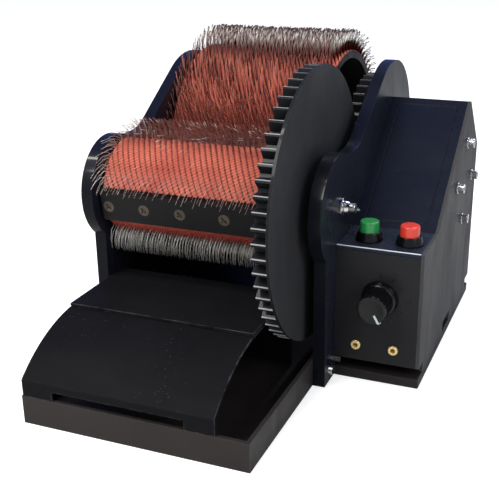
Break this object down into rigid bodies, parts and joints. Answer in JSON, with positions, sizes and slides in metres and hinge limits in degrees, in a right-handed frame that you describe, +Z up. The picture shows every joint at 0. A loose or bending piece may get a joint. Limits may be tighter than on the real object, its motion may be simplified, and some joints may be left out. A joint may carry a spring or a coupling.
{
  "type": "electric drum carder",
  "caption": "Drum carder with a wire-clothed licker and carding drum geared together, a curved feed tray, and a motor box with push buttons, a speed knob and power sockets.",
  "frame": {"origin": "on the tray's underside, midway between the side plates and below their front edges", "axes": "+X to the right, where the motor box is, +Y from the feed end to the back, +Z up"},
  "size_m": [0.3193, 0.5, 0.2787],
  "materials": {
    "black_shell": "satin black with soft sheen",
    "grey_cover": "satin dark grey",
    "floor_board": "matt dark brown-black",
    "black_gear": "satin black",
    "drum_pipe": "satin black",
    "card_cloth": "coral-red cloth with bright steel wires",
    "bronze_screws": "dark bronzed steel",
    "bright_hardware": "bright plated",
    "steel": "turned steel",
    "brass": "polished brass",
    "motor_paint": "dark grey paint",
    "bracket_metal": "milled aluminium",
    "nylon_gear": "natural nylon",
    "black_gloss": "moulded gloss black",
    "green_gloss": "moulded green",
    "red_gloss": "moulded red",
    "white_mark": "pale filled line",
    "grey_mark": "raised dark marks",
    "control_case": "olive moulding",
    "circuit_board": "green laminate",
    "circuit_parts": "dark components"
  },
  "bodies": {
    "frame": {"base_tray": "black_shell", "left_plate": "black_shell", "right_plate": "black_shell", "plate_bolts": "bright_hardware", "plate_nuts": "bright_hardware", "feed_tray": "black_shell", "feed_board": "black_shell", "main_bearings": "steel", "licker_axle": "steel", "axle_spacers": "steel", "axle_washers": "bright_hardware", "motor_gearbox": "motor_paint", "motor_can": "motor_paint", "motor_bracket": "bracket_metal", "box_floor": "floor_board", "front_panel": "black_shell", "button_shelf": "black_shell", "sloped_panel": "black_shell", "crest_panel": "black_shell", "rear_panel": "black_shell", "right_cover": "grey_cover", "cover_screws": "bright_hardware", "button_bodies": "black_gloss", "button_nuts": "steel", "speed_dial": "grey_mark", "speed_control": "control_case", "control_nut": "steel", "power_sockets": "brass", "socket_nuts": "brass", "speed_board": "circuit_board", "board_parts": "circuit_parts", "board_posts": "steel"},
    "licker_drum": {"licker_pipe": "drum_pipe", "licker_discs": "drum_pipe", "licker_bushes": "brass", "licker_cloth": "card_cloth", "licker_bar": "drum_pipe", "licker_bar_screws": "bronze_screws", "licker_gear": "black_gear"},
    "carding_drum": {"main_pipe": "drum_pipe", "main_discs": "drum_pipe", "main_shaft": "steel", "main_cloth": "card_cloth", "main_bar": "drum_pipe", "main_bar_screws": "bronze_screws", "main_gear": "black_gear", "shaft_collar": "steel", "driven_gear": "nylon_gear"},
    "motor_shaft": {"motor_pinion": "steel"},
    "start_button": {"green_button": "green_gloss"},
    "stop_button": {"red_button": "red_gloss"},
    "knob": {"speed_knob": "black_gloss", "knob_pointer": "white_mark"},
    "left_nut": {"wing_nut_left": "bright_hardware"},
    "right_nut": {"wing_nut_right": "bright_hardware"}
  },
  "joints": [
    {"name": "carding_drum_turn", "type": "hinge", "parent": "frame", "child": "carding_drum", "pos_m": [0, 0.23139, 0.1515], "axis": [1, 0, 0], "continuous": true},
    {"name": "licker_turn", "type": "hinge", "parent": "frame", "child": "licker_drum", "pos_m": [0, 0.0395, 0.1535], "axis": [1, 0, 0], "continuous": true},
    {"name": "motor_turn", "type": "hinge", "parent": "frame", "child": "motor_shaft", "pos_m": [0.115, 0.19108, 0.14219], "axis": [1, 0, 0], "continuous": true},
    {"name": "start_press", "type": "slide", "parent": "frame", "child": "start_button", "axis": [0, 0, -1], "range_m": [0, 0.0035], "stiffness_N_per_m": 500},
    {"name": "stop_press", "type": "slide", "parent": "frame", "child": "stop_button", "axis": [0, 0, -1], "range_m": [0, 0.0035], "stiffness_N_per_m": 500},
    {"name": "speed_turn", "type": "hinge", "parent": "frame", "child": "knob", "pos_m": [0.1505, 0.026, 0.08], "axis": [0, -1, 0], "range_deg": [0, 300]},
    {"name": "left_nut_turn", "type": "hinge", "parent": "frame", "child": "left_nut", "pos_m": [-0.115, 0.0395, 0.1535], "axis": [1, 0, 0], "continuous": true},
    {"name": "right_nut_turn", "type": "hinge", "parent": "frame", "child": "right_nut", "pos_m": [0.115, 0.0395, 0.1535], "axis": [1, 0, 0], "continuous": true}
  ],
  "couplings": [
    {"joint": "licker_turn", "follows": "carding_drum_turn", "ratio": -0.68333},
    {"joint": "motor_turn", "follows": "carding_drum_turn", "ratio": -1.2}
  ]
}
